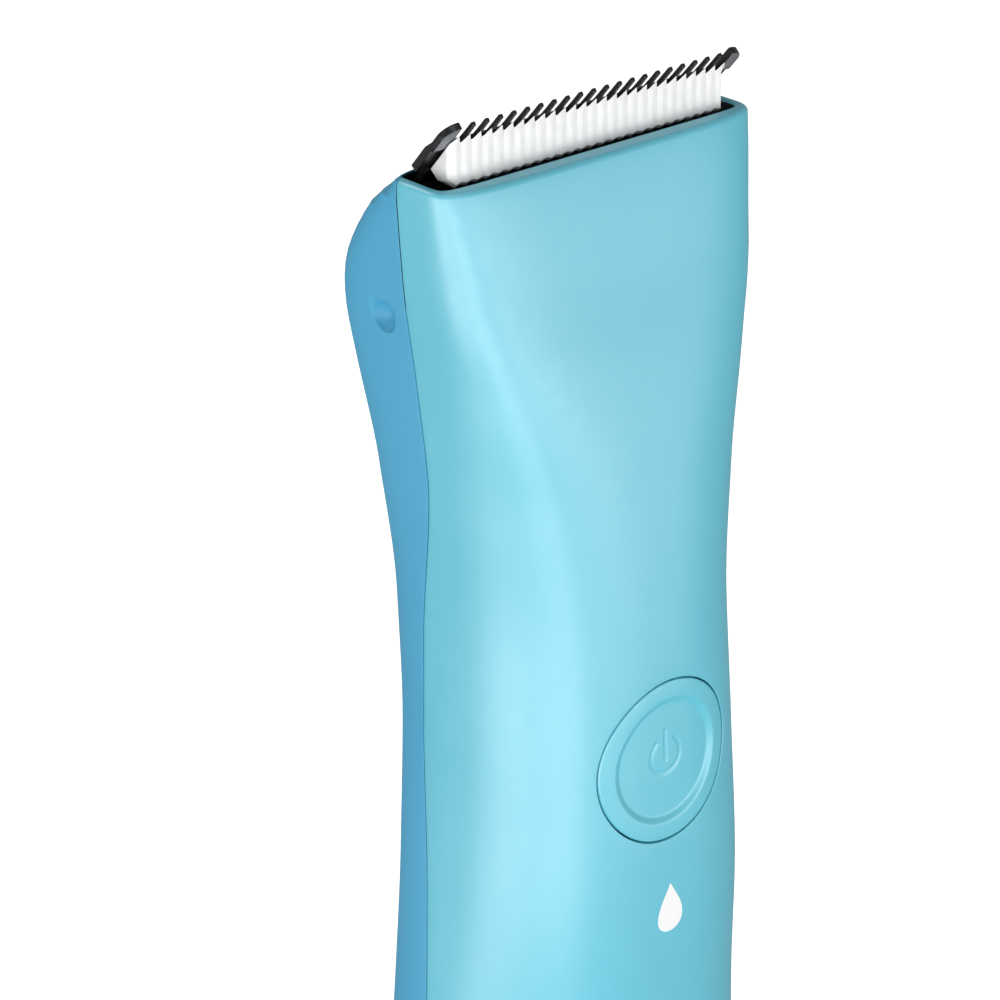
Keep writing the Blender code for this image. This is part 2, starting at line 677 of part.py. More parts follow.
# ---------------------------------------------------------------- blade cassette
def comb_profile(x, kind, foot):
    """The comb's section across X. kind is tooth, guard or root; every kind has the same number of points."""
    if kind == "root":
        top_front, top_back = (COMB_FRONT, TOOTH_ROOT), (TOOTH_BACK, TOOTH_ROOT)
        low = TOOTH_ROOT - 0.3
    else:
        top_front, top_back = (TOOTH_FRONT, 0.0), (TOOTH_BACK, 0.08)
        low = TOOTH_ROOT + 1.0
    shape = [(COMB_FRONT, foot), (COMB_FRONT, TOOTH_ROOT - 0.6), (COMB_FRONT, low), top_front, top_back,
             (TOOTH_BACK, TOOTH_ROOT - 0.1), (COMB_BACK, TOOTH_ROOT - 0.7), (COMB_BACK, foot)]
    return [(x, y, z) for y, z in shape]


def comb_blade(look, parent):
    rings = [
        comb_profile(-COMB_HALF_WIDTH, "guard", GUARD_FOOT),
        comb_profile(-GUARD_INNER, "guard", GUARD_FOOT),
        comb_profile(-GUARD_INNER + STEP, "root", COMB_FOOT_SIDE),
    ]
    first = -TOOTH_PITCH * (TOOTH_COUNT - 1) / 2
    for k in range(TOOTH_COUNT):
        middle = first + TOOTH_PITCH * k
        half = TOOTH_WIDTH / 2
        rings.append(comb_profile(middle - half - STEP, "root", COMB_FOOT))
        rings.append(comb_profile(middle - half, "tooth", COMB_FOOT))
        rings.append(comb_profile(middle + half, "tooth", COMB_FOOT))
        rings.append(comb_profile(middle + half + STEP, "root", COMB_FOOT))
    rings += [
        comb_profile(GUARD_INNER - STEP, "root", COMB_FOOT_SIDE),
        comb_profile(GUARD_INNER, "guard", GUARD_FOOT),
        comb_profile(COMB_HALF_WIDTH, "guard", GUARD_FOOT),
    ]
    blade = loft("comb_blade", rings, look, parent, 20.0)
    for k, side in enumerate((-1, 1)):
        hole = turned(f"comb_hole_{k}", ((0.9, -1.0), (0.9, 1.5)), parent=parent,
                      middle=(side * COMB_SCREW_X, COMB_SCREW_Z), axis="y", sides=12)
        carve(blade, hole)
    return blade


def ceramic_cutter(look, parent):
    """White saw-edged wedge. Its front is upright while the comb behind it leans."""
    foot = (CUTTER_BACK, CUTTER_FOOT)
    crest = ((CUTTER_BACK, -1.25), (-0.95, -2.35), (-3.3, -5.05), (-3.3, CUTTER_FOOT), foot)
    valley = ((CUTTER_BACK - 0.1, -2.1), (-1.3, -2.75), (-3.0, -5.05), (-3.0, CUTTER_FOOT), foot)
    rings = []
    first = -CUTTER_PITCH * CUTTER_TEETH / 2
    for k in range(2 * CUTTER_TEETH + 1):
        shape = crest if k % 2 else valley
        rings.append([(first + CUTTER_PITCH / 2 * k, y, z) for y, z in shape])
    return loft("ceramic_cutter", rings, look, parent, 10.0)


def blade_holder(look, parent):
    """The block that carries the comb, with a window for the fork and a bridge over it."""
    half, window = HOLDER_HALF_WIDTH, WINDOW_HALF_WIDTH
    body = box("blade_holder", (-half, HOLDER_FRONT, HOLDER_FOOT), (half, CUTTER_BACK, HOLDER_TOP), look, parent)
    opening = ((-window, -5.0, HOLDER_FOOT - 1.0), (window, 1.0, BRIDGE_FOOT))
    carve(body, box("holder_window_cutter", *opening, parent=parent))
    relief = ((-window, -5.0, BRIDGE_FOOT - 1.0), (window, BRIDGE_FRONT, -5.0))
    carve(body, box("holder_relief_cutter", *relief, parent=parent))
    bore = ((2.0, -4.0), (2.0, -1.6), (0.9, -1.6), (0.9, 1.0))
    for k, side in enumerate((-1, 1)):
        place = (side * COMB_SCREW_X, COMB_SCREW_Z)
        carve(body, turned(f"holder_hole_{k}", bore, parent=parent, middle=place, axis="y", sides=16))
    return body


def comb_screws(look, parent):
    for k, side in enumerate((-1, 1)):
        place = (side * COMB_SCREW_X, -2.7, COMB_SCREW_Z)
        screw(f"comb_screw_{k + 1}", place, "y", 1.6, 0.8, 0.6, 2.2, look, parent)


def cutter_carrier(look, parent):
    """The arm that carries the cutter: a bar under it, a flat stem, and a fork round the cam pin."""
    outline_xz = (
        (-13.0, -8.2), (-CARRIER_HALF_WIDTH, -8.2), (-CARRIER_HALF_WIDTH, FORK_FOOT),
        (-FORK_SLOT_HALF_WIDTH, FORK_FOOT), (-FORK_SLOT_HALF_WIDTH, FORK_SLOT_TOP),
        (FORK_SLOT_HALF_WIDTH, FORK_SLOT_TOP), (FORK_SLOT_HALF_WIDTH, FORK_FOOT),
        (CARRIER_HALF_WIDTH, FORK_FOOT), (CARRIER_HALF_WIDTH, -8.2),
        (13.0, -8.2), (13.0, -6.3), (-13.0, -6.3),
    )
    arm = prism("cutter_carrier", outline_xz, HOLDER_FRONT, -0.9, look, parent, axis="y")
    relief = box("carrier_relief_cutter", (-6.0, -2.05, -11.0), (6.0, 1.0, -8.3), parent=parent)
    return carve(arm, relief)


def cutter_spring(look, parent):
    """A flat steel spring that presses the carrier towards the comb."""
    outline_xz = ((-7.4, -17.0), (-6.0, -17.0), (-6.0, -9.8), (6.0, -9.8),
                  (6.0, -17.0), (7.4, -17.0), (7.4, -8.9), (-7.4, -8.9))
    return prism("cutter_spring", outline_xz, -3.35, -3.1, look, parent, axis="y")


def build():
    clear_scene()
    soft_blue = material("soft_blue_plastic", (0.22, 0.68, 0.81), 0.45)
    rear_blue = material("rear_blue_plastic", (0.20, 0.60, 0.78), 0.45)
    button_blue = material("button_blue_plastic", (0.24, 0.70, 0.82), 0.4)
    black_steel = material("black_steel", (0.03, 0.03, 0.035), 0.35, 0.6)
    ceramic = material("white_ceramic", (0.90, 0.90, 0.90), 0.3)
    black_plastic = material("black_plastic", (0.03, 0.03, 0.03), 0.5)
    grey_plastic = material("grey_plastic", (0.55, 0.55, 0.56), 0.5)
    white_plastic = material("white_plastic", (0.85, 0.85, 0.83), 0.4)
    steel = material("steel", (0.62, 0.62, 0.64), 0.3, 1.0)
    nickel = material("nickel_strip", (0.70, 0.68, 0.62), 0.35, 1.0)
    rubber = material("dark_rubber", (0.05, 0.05, 0.055), 0.8)
    circuit_green = material("circuit_green", (0.02, 0.25, 0.10), 0.4)
    wrap_blue = material("battery_wrap", (0.05, 0.12, 0.45), 0.4)
    red_lead = material("red_lead", (0.60, 0.03, 0.03), 0.5)
    black_lead = material("black_lead", (0.02, 0.02, 0.02), 0.5)

    hollow = cavity()
    front_shell(hollow, soft_blue)
    rear_shell(hollow, rear_blue)

    button_mount = empty("power_button_joint", (0.0, BUTTON_BACK, BUTTON_Z))
    power_button(button_blue, button_mount)
    button_seal(rubber)
    plunger_mount = empty("switch_plunger_joint", (0.0, PLUNGER_Y, BUTTON_Z))
    switch(black_plastic, white_plastic, plunger_mount)

    board(circuit_green, black_plastic)
    inner_frame(grey_plastic)
    board_screws(steel)
    frame_screws(steel)
    battery(wrap_blue, nickel, white_plastic)

    motor(steel, white_plastic, grey_plastic, steel)
    rotor_mount = empty("rotor_joint", (0.0, MOTOR_Y, 0.0))
    rotor(steel, white_plastic, rotor_mount)
    drive_seal(rubber, grey_plastic)

    charging_port(steel, black_plastic, rubber)
    leads(red_lead, black_lead)

    cassette = empty("cassette_joint", (0.0, TIP_Y, TIP_Z), rotation=(COMB_LEAN, 0.0, 0.0))
    comb_blade(black_steel, cassette)
    blade_holder(black_plastic, cassette)
    comb_screws(steel, cassette)
    cutter_spring(steel, cassette)
    cutter_mount = empty("cutter_joint", (0.0, 0.0, 0.0), parent=cassette)
    ceramic_cutter(ceramic, cutter_mount)
    cutter_carrier(black_plastic, cutter_mount)


build()
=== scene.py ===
"""Looks of the cordless body groomer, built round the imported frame.

Design lengths are in millimetres in the frame of the CAD model, and MM turns them into metres.
+Z runs up the handle to the blade, -Y is the front with the power button, X runs along the blade.
"""

import json
import math

import bmesh
import bpy
from mathutils import Matrix, Vector


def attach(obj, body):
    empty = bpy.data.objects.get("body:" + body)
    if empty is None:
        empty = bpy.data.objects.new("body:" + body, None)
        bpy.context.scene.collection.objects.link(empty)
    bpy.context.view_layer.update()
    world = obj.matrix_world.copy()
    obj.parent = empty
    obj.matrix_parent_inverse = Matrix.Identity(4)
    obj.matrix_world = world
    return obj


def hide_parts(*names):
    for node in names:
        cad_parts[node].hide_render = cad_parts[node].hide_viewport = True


MM = 0.001

# ---------------------------------------------------------------- casing
# height, half width, front, back, squareness of the superellipse (2 is an ellipse)
BODY_STATIONS = (
    (0.0, 11.8, -9.7, 9.7, 2.6),
    (2.5, 14.4, -12.3, 12.3, 2.6),
    (8.0, 16.4, -14.4, 14.4, 2.5),
    (20.0, 17.7, -15.6, 15.6, 2.4),
    (40.0, 17.9, -15.8, 15.8, 2.4),
    (63.0, 17.1, -15.8, 14.9, 2.4),
    (78.0, 16.0, -15.6, 13.8, 2.7),
    (92.0, 15.0, -15.0, 13.9, 2.8),
    (106.0, 14.6, -14.1, 14.9, 2.8),
    (120.0, 15.5, -12.7, 15.5, 3.2),
    (132.0, 17.1, -10.6, 15.1, 4.5),
    (141.0, 18.5, -8.3, 13.1, 6.2),
    (148.0, 19.15, -6.9, 8.4, 6.0),
    (152.2, 19.5, -5.9, 3.2, 5.0),
)
# height, position of the line where the two shells meet
SEAM_STATIONS = (
    (0.0, 0.6),
    (40.0, 0.8),
    (60.0, 1.2),
    (78.0, 2.4),
    (95.0, 4.1),
    (104.0, 4.2),
    (122.0, 1.9),
    (152.2, 1.5),
)
RIM_Z = 152.2
FLOOR_Z = 2.4
SHELL_WALL = 1.6
RIM_SIDE_WALL = 1.1
RIM_FRONT_WALL = 2.05
RIM_BACK_WALL = 0.7
MOUTH_LOW = 140.0
MOUTH_BACK = 1.1
MOUTH_SQUARER = 6.0
SHELL_GAP = 0.14
SEAM_ROUNDING = 0.06
# lowest height of the painted shade on the inner walls of the blade bay
PAINTED_SHADE_LOW = 140.0
RIM_ROUNDING = 0.55
MOUTH_ROUNDING = 0.45
BASE_ROUNDING = 0.5
LEVEL_STEP = 1.5
ROUNDING_STEPS = 6
HALF_POINTS = 104
CAVITY_POINTS = 150
CAVITY_LEVELS = 60

# ---------------------------------------------------------------- power button
BUTTON_Z = 93.2
BUTTON_RADIUS = 8.27
BUTTON_HOLE_RADIUS = 8.43
HOLE_ROUNDING = 0.12
DISH_RADIUS = 6.65
DISH_FOOT_RADIUS = 5.75
DISH_DEPTH = 0.45
FACE_DEPTH = 0.03
BUTTON_BACK = -12.3
BUTTON_STUB_END = -11.2
BUTTON_STUB_RADIUS = 2.0
BUTTON_EDGE = 0.16
DISH_RINGS = 46
DISH_WALL_RINGS = 12
BUTTON_SIDES = 240
SYMBOL_Z = 0.5
SYMBOL_RADIUS = 1.9
SYMBOL_STROKE = 0.42
SYMBOL_DEPTH = 0.07
SYMBOL_BLUR = 0.09
SYMBOL_GAP = math.radians(38.0)
SYMBOL_BAR = (-0.5, 2.5)
MARK_Z = 77.2
MARK_HEIGHT = 5.4
MARK_HALF_WIDTH = 1.75
MARK_FULLNESS = 1.32
MARK_POINT = 1.4
MARK_LIFT = 0.015
MARK_SUNK = 0.05

# ---------------------------------------------------------------- blade cassette
COMB_LEAN = math.radians(41.0)
TIP_Y = -4.0
TIP_Z = 158.0
COMB_HALF_WIDTH = 18.35
COMB_BACK = 0.47
COMB_FRONT = -0.25
TOOTH_FRONT = -0.5
TOOTH_BACK = -0.1
TOOTH_THIN_LOW = -2.45
STEP_HIGH = -3.0
STEP_LOW = -3.3
PLATE_THICK_HIGH = -3.5
COMB_FOOT = -15.0
COMB_FOOT_SIDE = -10.0
GUARD_INNER = 16.6
GUARD_BACK = 0.2
GUARD_FOOT = -6.4
GUARD_CORNER = 1.5
GUARD_FACE_LOW = -4.0
TOOTH_COUNT = 20
TOOTH_PITCH = 1.6
TOOTH_ROOT_HALF = 0.27
TOOTH_TIP_HALF = 0.23
TOOTH_BEVEL = 0.06
TOOTH_ROOT = -2.6
CUTTER_TEETH = 27
CUTTER_PITCH = 1.26
CUTTER_BACK = -0.6
CUTTER_FOOT = -6.0
CUTTER_LIP = -5.3
CUTTER_CHAMFER = 0.7
CUTTER_STEPS = ((0.03, 0.0), (0.12, 0.10), (0.46, 0.96), (0.50, 1.0), (0.54, 0.96), (0.88, 0.10), (0.97, 0.0))
COMB_SCREW_X = 11.0
COMB_SCREW_Z = -12.5
COMB_HOLE_RADIUS = 0.95
FLANK = 0.02

# ---------------------------------------------------------------- details of the rear casing and the base
DIMPLE_Y = 5.1
DIMPLE_Z = 137.6
DIMPLE_SPHERE = 1.75
DIMPLE_OUTSET = 0.7
DIMPLE_LIP = 0.08
PORT_Y = -5.6
PORT_HALF_X = 4.8
PORT_HALF_Y = 1.95
POST_X = 10.2
POST_RADIUS = 2.1
POST_HEIGHTS = (22.0, 88.0)
POST_FRONT = -5.3
PILOT_RADIUS = 0.95
PILOT_DEPTH = 7.5

# ---------------------------------------------------------------- camera, lights and floor
CAMERA_PLACE = (-193.75, -207.83, 246.71)
CAMERA_AZIMUTH = math.radians(41.73)
CAMERA_DOWN = math.radians(24.776)
CAMERA_LENS = 117.2
SENSOR = 36.0
FLOOR_RADIUS = 9.0
FLOOR_LEVEL = -0.0002
FLOOR_GLOW = 0.75
WORLD_STRENGTH = 0.32
LIGHT_TARGET = (0.0, 0.0, 0.110)
# name, azimuth left of the front, elevation, then distance, width and height in metres, and power
LIGHTS = (
    ("key_light", 40.0, -13.0, 0.62, 0.62, 0.38, 2.7),
    ("side_light", 95.0, -17.0, 0.62, 0.58, 0.30, 2.1),
    ("front_light", -16.0, -4.0, 0.75, 0.70, 0.42, 2.7),
    ("top_light", 15.0, 62.0, 0.80, 0.40, 0.40, 0.9),
    ("back_light", 148.0, 37.5, 0.80, 0.34, 0.34, 1.5),
)


# ---------------------------------------------------------------- outlines
def slopes(heights, values):
    """Slopes at the stations of a curve that passes through them without overshoot."""
    steps = [(values[i + 1] - values[i]) / (heights[i + 1] - heights[i]) for i in range(len(values) - 1)]
    found = [steps[0]]
    for before, after in zip(steps, steps[1:]):
        found.append(0.0 if before * after <= 0 else 2 * before * after / (before + after))
    return found + [steps[-1]]


def smooth(table, column, height):
    """A table's column at this height, on a smooth curve through its stations."""
    heights = [row[0] for row in table]
    values = [row[column] for row in table]
    rates = slopes(heights, values)
    height = min(max(height, heights[0]), heights[-1])
    i = max(k for k in range(len(heights) - 1) if heights[k] <= height)
    span = heights[i + 1] - heights[i]
    t = (height - heights[i]) / span
    return (
        values[i] * (2 * t**3 - 3 * t**2 + 1)
        + values[i + 1] * (3 * t**2 - 2 * t**3)
        + span * rates[i] * (t**3 - 2 * t**2 + t)
        + span * rates[i + 1] * (t**3 - t**2)
    )


def body_section(height, inset=0.0):
    """Half width, front, back and squareness of the casing's outline, drawn in by the inset."""
    half, front, back, square = [smooth(BODY_STATIONS, column, height) for column in (1, 2, 3, 4)]
    return half - inset, front + inset, back - inset, square


def comb_plane_y(height, offset):
    """Y at this height of the plane parallel to the comb, offset behind its tip line."""
    down = TIP_Z - height
    return TIP_Y + (offset + math.sin(COMB_LEAN) * down) / math.cos(COMB_LEAN)


def cavity_section(height, flare=0.0):
    """The hollow inside the shells, widened by the flare at the rounded edge of the mouth."""
    half, front, back, square = body_section(height)
    near_rim = min(max((height - MOUTH_LOW) / (RIM_Z - MOUTH_LOW), 0.0), 1.0)
    side_wall = SHELL_WALL + (RIM_SIDE_WALL - SHELL_WALL) * near_rim - flare
    front_wall = SHELL_WALL + (RIM_FRONT_WALL - SHELL_WALL) * near_rim - flare
    back_wall = SHELL_WALL + (RIM_BACK_WALL - SHELL_WALL) * near_rim
    rear = min(back - back_wall, comb_plane_y(height, MOUTH_BACK)) + flare
    return half - side_wall, front + front_wall, rear, square + MOUTH_SQUARER * near_rim


def outline(section, start=0.0, end=2 * math.pi, steps=900):
    """Points of a superellipse from one angle to another, closely spaced."""
    half, front, back, square = section
    middle, depth, power = (front + back) / 2, (back - front) / 2, 2 / square
    points = []
    for k in range(steps + 1):
        angle = start + (end - start) * k / steps
        c, s = math.cos(angle), math.sin(angle)
        x = half * math.copysign(abs(c) ** power, c)
        y = middle + depth * math.copysign(abs(s) ** power, s)
        points.append((x, y))
    return points


def at_lengths(points, wanted):
    """The places at these distances along a line of points."""
    lengths = [0.0]
    for a, b in zip(points, points[1:]):
        lengths.append(lengths[-1] + math.dist(a, b))
    found, k = [], 0
    for want in wanted(lengths[-1]):
        while k < len(points) - 2 and lengths[k + 1] < want:
            k += 1
        share = (want - lengths[k]) / (lengths[k + 1] - lengths[k])
        a, b = points[k], points[k + 1]
        found.append((a[0] + (b[0] - a[0]) * share, a[1] + (b[1] - a[1]) * share))
    return found


def on_curve(point, section):
    """The point moved onto the superellipse along a ray from its middle."""
    half, front, back, square = section
    middle, depth = (front + back) / 2, (back - front) / 2
    x, y = point[0], point[1] - middle
    size = (abs(x / half) ** square + abs(y / depth) ** square) ** (1 / square)
    return x / size, middle + y / size


def closed_ring(section, count):
    """Points the same distance apart all round the superellipse."""
    even = at_lengths(outline(section), lambda total: [total * k / count for k in range(count)])
    return [on_curve(point, section) for point in even]


def corner_drop(distance, radius):
    """How far a rounded edge lies below its flat at this distance from the edge."""
    if distance >= radius:
        return 0.0
    return radius - math.sqrt(radius**2 - (radius - distance) ** 2)


def seam_lengths(total):
    """Distances along one shell's outline, close together in the rounded edges at both seams."""
    edge = [SEAM_ROUNDING * (1 - math.cos(math.pi / 2 * k / 4)) for k in range(5)]
    middle_count = HALF_POINTS - 2 * len(edge)
    span = total - 2 * SEAM_ROUNDING
    middle = [SEAM_ROUNDING + span * (k + 1) / (middle_count + 1) for k in range(middle_count)]
    return edge + middle + [total - step for step in reversed(edge)]


def half_ring(height, side, inset):
    """One shell's part of the outline at this height, from seam to seam. side is -1 in front, 1 behind."""
    section = body_section(height, inset)
    half, front, back, square = section
    seam = smooth(SEAM_STATIONS, 1, height) + side * SHELL_GAP / 2
    offset = (seam - (front + back) / 2) / ((back - front) / 2)
    angle = math.asin(math.copysign(abs(offset) ** (square / 2), offset))
    if side < 0:
        line = outline(section, math.pi - angle, 2 * math.pi + angle)
    else:
        line = outline(section, angle, math.pi - angle)
    places = at_lengths(line, seam_lengths)
    total = sum(math.dist(a, b) for a, b in zip(line, line[1:]))
    ring = []
    for place, along in zip(places, seam_lengths(total)):
        x, y = on_curve(place, section)
        drop = corner_drop(min(along, total - along), SEAM_ROUNDING)
        ring.append((x - math.copysign(drop, x), y, height))
    return ring


def front_surface_y(x, height):
    half, front, back, square = body_section(height)
    middle, depth = (front + back) / 2, (back - front) / 2
    return middle - depth * (1 - (abs(x) / half) ** square) ** (1 / square)


def back_surface_y(x, height):
    half, front, back, square = body_section(height)
    middle, depth = (front + back) / 2, (back - front) / 2
    return middle + depth * (1 - (abs(x) / half) ** square) ** (1 / square)


def ease(low, high, value):
    """0 below low, 1 above high, and smooth between."""
    t = min(max((value - low) / (high - low), 0.0), 1.0)
    return t * t * (3 - 2 * t)


# ---------------------------------------------------------------- solids
def finish_mesh(obj, angle=32.0):
    obj.data.shade_smooth()
    obj.data.set_sharp_from_angle(angle=math.radians(angle))


def solid(name, points, faces, look=None, angle=32.0):
    """A closed mesh object from points in millimetres, with its faces turned outwards."""
    mesh = bpy.data.meshes.new(name)
    mesh.from_pydata([Vector(p) * MM for p in points], [], faces)
    work = bmesh.new()
    work.from_mesh(mesh)
    bmesh.ops.recalc_face_normals(work, faces=work.faces)
    if work.calc_volume(signed=True) < 0:
        bmesh.ops.reverse_faces(work, faces=work.faces)
    work.to_mesh(mesh)
    work.free()
    obj = bpy.data.objects.new(name, mesh)
    bpy.context.scene.collection.objects.link(obj)
    finish_mesh(obj, angle)
    if look is not None:
        mesh.materials.append(look)
    return obj


def ring_faces(ring_count, count):
    """Faces between neighbouring closed rings of the same number of points."""
    faces = []
    for i in range(ring_count - 1):
        for k in range(count):
            a, b = i * count + k, i * count + (k + 1) % count
            faces.append((a, b, b + count, a + count))
    return faces


def loft(name, rings, look=None, angle=32.0):
    """A solid through closed rings that all have the same number of points, with flat ends."""
    count = len(rings[0])
    points = [p for ring in rings for p in ring]
    faces = ring_faces(len(rings), count)
    faces.append(tuple(range(count - 1, -1, -1)))
    faces.append(tuple(range((len(rings) - 1) * count, len(rings) * count)))
    return solid(name, points, faces, look, angle)


def circle(radius, sides, middle=(0.0, 0.0)):
    turn = 2 * math.pi / sides
    return [
        (middle[0] + radius * math.cos(k * turn), middle[1] + radius * math.sin(k * turn))
        for k in range(sides)
    ]


def along(axis, a, b, c):
    """A point with c along the axis and a, b across it."""
    return {"x": (c, a, b), "y": (a, c, b), "z": (a, b, c)}[axis]


def turned(name, profile, look=None, middle=(0.0, 0.0), axis="z", sides=48):
    """A solid turned from (radius, level) steps, both ends closed by flat discs."""
    rings = []
    for radius, level in profile:
        rings.append([along(axis, a, b, level) for a, b in circle(radius, sides, middle)])
    return loft(name, rings, look)


def joined(name, parts):
    """Several separate closed bodies as one object."""
    work = bmesh.new()
    for part in parts:
        work.from_mesh(part.data)
        bpy.data.objects.remove(part)
    mesh = bpy.data.meshes.new(name)
    work.to_mesh(mesh)
    work.free()
    obj = bpy.data.objects.new(name, mesh)
    bpy.context.scene.collection.objects.link(obj)
    return obj


def carve(obj, cutter, operation="DIFFERENCE"):
    """Cuts or joins by Boolean. The tool stays hidden until settle() removes it."""
    tool = obj.modifiers.new(cutter.name, "BOOLEAN")
    tool.operation = operation
    tool.solver = "EXACT"
    tool.object = cutter
    cutter.hide_render = True
    return obj


def settle(obj, *cutters):
    """Applies the object's modifiers and removes their tools."""
    bpy.context.view_layer.update()
    shaped = bpy.data.meshes.new_from_object(obj.evaluated_get(bpy.context.evaluated_depsgraph_get()))
    obj.modifiers.clear()
    obj.data = shaped
    for cutter in cutters:
        bpy.data.objects.remove(cutter)
    finish_mesh(obj)
    return obj


# ---------------------------------------------------------------- node helpers
class Nodes:
    """Builds one material's node tree."""

    def __init__(self, name):
        self.material = bpy.data.materials.new(name)
        self.material.use_nodes = True
        self.tree = self.material.node_tree
        self.shader = self.tree.nodes["Principled BSDF"]
        place = self.tree.nodes.new("ShaderNodeTexCoord")
        self.place = place.outputs["Object"]

    def link(self, source, target):
        self.tree.links.new(source, target)

    def scaled(self, scale):
        """Object coordinates stretched by a factor for each axis."""
        mapping = self.tree.nodes.new("ShaderNodeMapping")
        mapping.inputs["Scale"].default_value = scale
        self.link(self.place, mapping.inputs["Vector"])
        return mapping.outputs["Vector"]

    def noise(self, scale, detail=3.0, roughness=0.5, place=None):
        made = self.tree.nodes.new("ShaderNodeTexNoise")
        made.inputs["Scale"].default_value = scale
        made.inputs["Detail"].default_value = detail
        made.inputs["Roughness"].default_value = roughness
        self.link(place or self.place, made.inputs["Vector"])
        return made.outputs["Fac"]

    def spread(self, value, low, high, start=0.3, end=0.7):
        """The value between start and end, spread from low to high."""
        made = self.tree.nodes.new("ShaderNodeMapRange")
        made.inputs["From Min"].default_value = start
        made.inputs["From Max"].default_value = end
        made.inputs["To Min"].default_value = low
        made.inputs["To Max"].default_value = high
        self.link(value, made.inputs["Value"])
        return made.outputs["Result"]

    def blend(self, share, low, high):
        """A colour between two others. Each may be a colour or a socket."""
        made = self.tree.nodes.new("ShaderNodeMix")
        made.data_type = "RGBA"
        self.link(share, made.inputs["Factor"])
        for socket, colour in (("A", low), ("B", high)):
            target = made.inputs[[i.identifier for i in made.inputs].index(f"{socket}_Color")]
            if isinstance(colour, tuple):
                target.default_value = (*colour, 1.0)
            else:
                self.link(colour, target)
        return [o for o in made.outputs if o.identifier == "Result_Color"][0]

    def bump(self, height, strength, distance, under=None):
        made = self.tree.nodes.new("ShaderNodeBump")
        made.inputs["Strength"].default_value = strength
        made.inputs["Distance"].default_value = distance
        self.link(height, made.inputs["Height"])
        if under is not None:
            self.link(under, made.inputs["Normal"])
        return made.outputs["Normal"]

    def finish(self, colour=None, roughness=None, normal=None, **plain):
        for socket, source in (("Base Color", colour), ("Roughness", roughness), ("Normal", normal)):
            if source is not None:
                self.link(source, self.shader.inputs[socket])
        for socket, value in plain.items():
            self.shader.inputs[socket.replace("_", " ")].default_value = value
        return self.material


# ---------------------------------------------------------------- materials
def moulded_plastic(name, tone, shade, rough, grain=5200.0, grain_depth=0.000012, **plain):
    """Moulded plastic: faint cloudy colour, uneven gloss and a fine spark-eroded grain."""
    n = Nodes(name)
    colour = n.blend(n.spread(n.noise(60.0, 2.0), 0.0, 1.0), shade, tone)
    gloss = n.spread(n.noise(900.0, 4.0, 0.6), rough - 0.03, rough + 0.04)
    normal = n.bump(n.noise(grain, 2.0), 0.35, grain_depth)
    return n.finish(colour, gloss, normal, **plain)


def coated_steel(name):
    """Black coated steel with a fine ground grain along the blade."""
    n = Nodes(name)
    grain = n.noise(1.0, 3.0, 0.6, n.scaled((400.0, 5200.0, 5200.0)))
    colour = n.blend(n.spread(grain, 0.0, 1.0), (0.010, 0.011, 0.013), (0.030, 0.031, 0.034))
    gloss = n.spread(n.noise(2400.0, 4.0, 0.6), 0.26, 0.42)
    normal = n.bump(grain, 0.5, 0.00001)
    return n.finish(colour, gloss, normal, Metallic=0.55, Specular_IOR_Level=0.6)


def ground_ceramic(name):
    """White ceramic: fine ground lines, faint warm mottling, and painted shade that darkens it below the rim
    towards its foot.
    """
    n = Nodes(name)
    grain = n.noise(1.0, 3.0, 0.6, n.scaled((6000.0, 900.0, 900.0)))
    mottling = n.blend(n.spread(n.noise(700.0, 4.0), 0.0, 1.0), (0.74, 0.738, 0.73), (0.81, 0.807, 0.80))
    height = n.tree.nodes.new("ShaderNodeSeparateXYZ")
    n.link(n.place, height.inputs["Vector"])
    # painted shade: below the rim height the colour turns dark brownish, standing in for the shade at the
    # cutter's foot
    painted_foot_shade = n.spread(height.outputs["Z"], 0.6, 0.0, 0.1515, 0.1523)
    colour = n.blend(painted_foot_shade, mottling, (0.50, 0.47, 0.44))
    gloss = n.spread(grain, 0.28, 0.42)
    return n.finish(colour, gloss, n.bump(grain, 0.35, 0.000012), Coat_Weight=0.1)


def satin(name, tone, shade, rough):
    """The casing's plastic, glossier than other moulded plastic."""
    return moulded_plastic(name, tone, shade, rough, IOR=1.6, Specular_IOR_Level=1.0)


def plated_steel(name, bright=(0.66, 0.66, 0.68), dull=(0.52, 0.52, 0.55), rough=0.26):
    """Bare or plated metal with fine drawn lines."""
    n = Nodes(name)
    grain = n.noise(1.0, 4.0, 0.6, n.scaled((900.0, 900.0, 7000.0)))
    colour = n.blend(n.spread(n.noise(500.0), 0.0, 1.0), dull, bright)
    gloss = n.spread(grain, rough - 0.06, rough + 0.1)
    return n.finish(colour, gloss, n.bump(grain, 0.25, 0.00001), Metallic=1.0)


def soft_rubber(name):
    """Dull dark rubber with a fine grain."""
    n = Nodes(name)
    colour = n.blend(n.spread(n.noise(400.0), 0.0, 1.0), (0.018, 0.019, 0.021), (0.042, 0.043, 0.047))
    gloss = n.spread(n.noise(1500.0, 4.0), 0.7, 0.88)
    return n.finish(colour, gloss, n.bump(n.noise(6500.0), 0.5, 0.00002))


